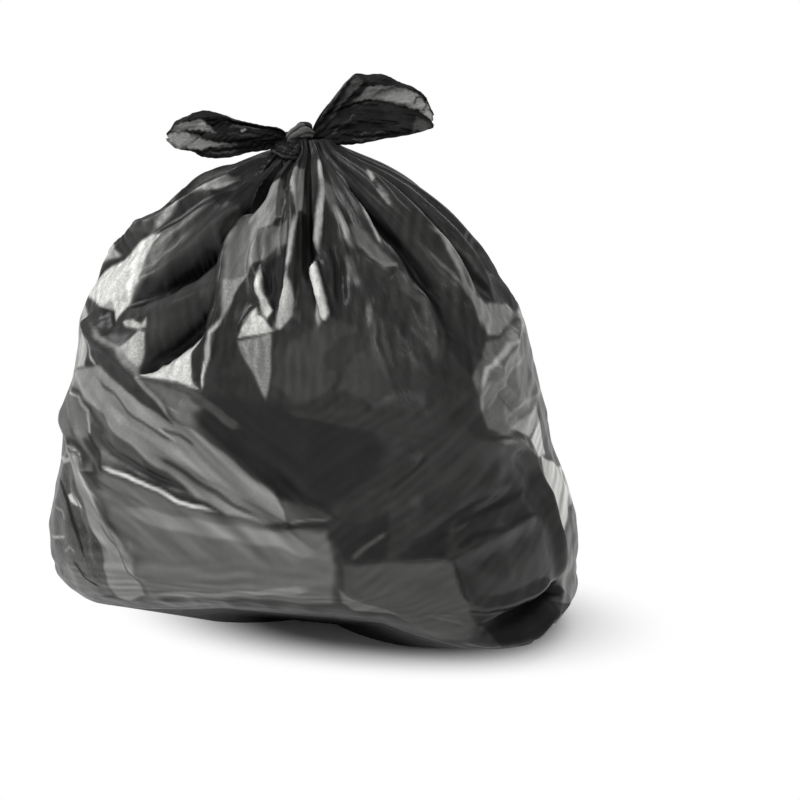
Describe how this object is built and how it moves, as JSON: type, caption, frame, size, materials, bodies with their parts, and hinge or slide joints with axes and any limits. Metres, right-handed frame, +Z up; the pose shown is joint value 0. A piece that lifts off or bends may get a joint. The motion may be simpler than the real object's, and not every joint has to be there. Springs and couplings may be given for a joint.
{
  "type": "filled bin bag",
  "caption": "Filled refuse sack of thin black film, slumped on the floor, gathered into a knot at the top with the loose ends standing out as ears.",
  "frame": {"origin": "on the floor, at the centre of the bounding box's base", "axes": "+Z up; X along the broad side of the sack; the front, which the picture shows turned a little to its left, faces -Y"},
  "size_m": [0.5354, 0.3964, 0.5468],
  "materials": {
    "film": "thin glossy black polythene film, creased"
  },
  "bodies": {
    "root": {"bin_bag": "film"}
  },
  "joints": []
}
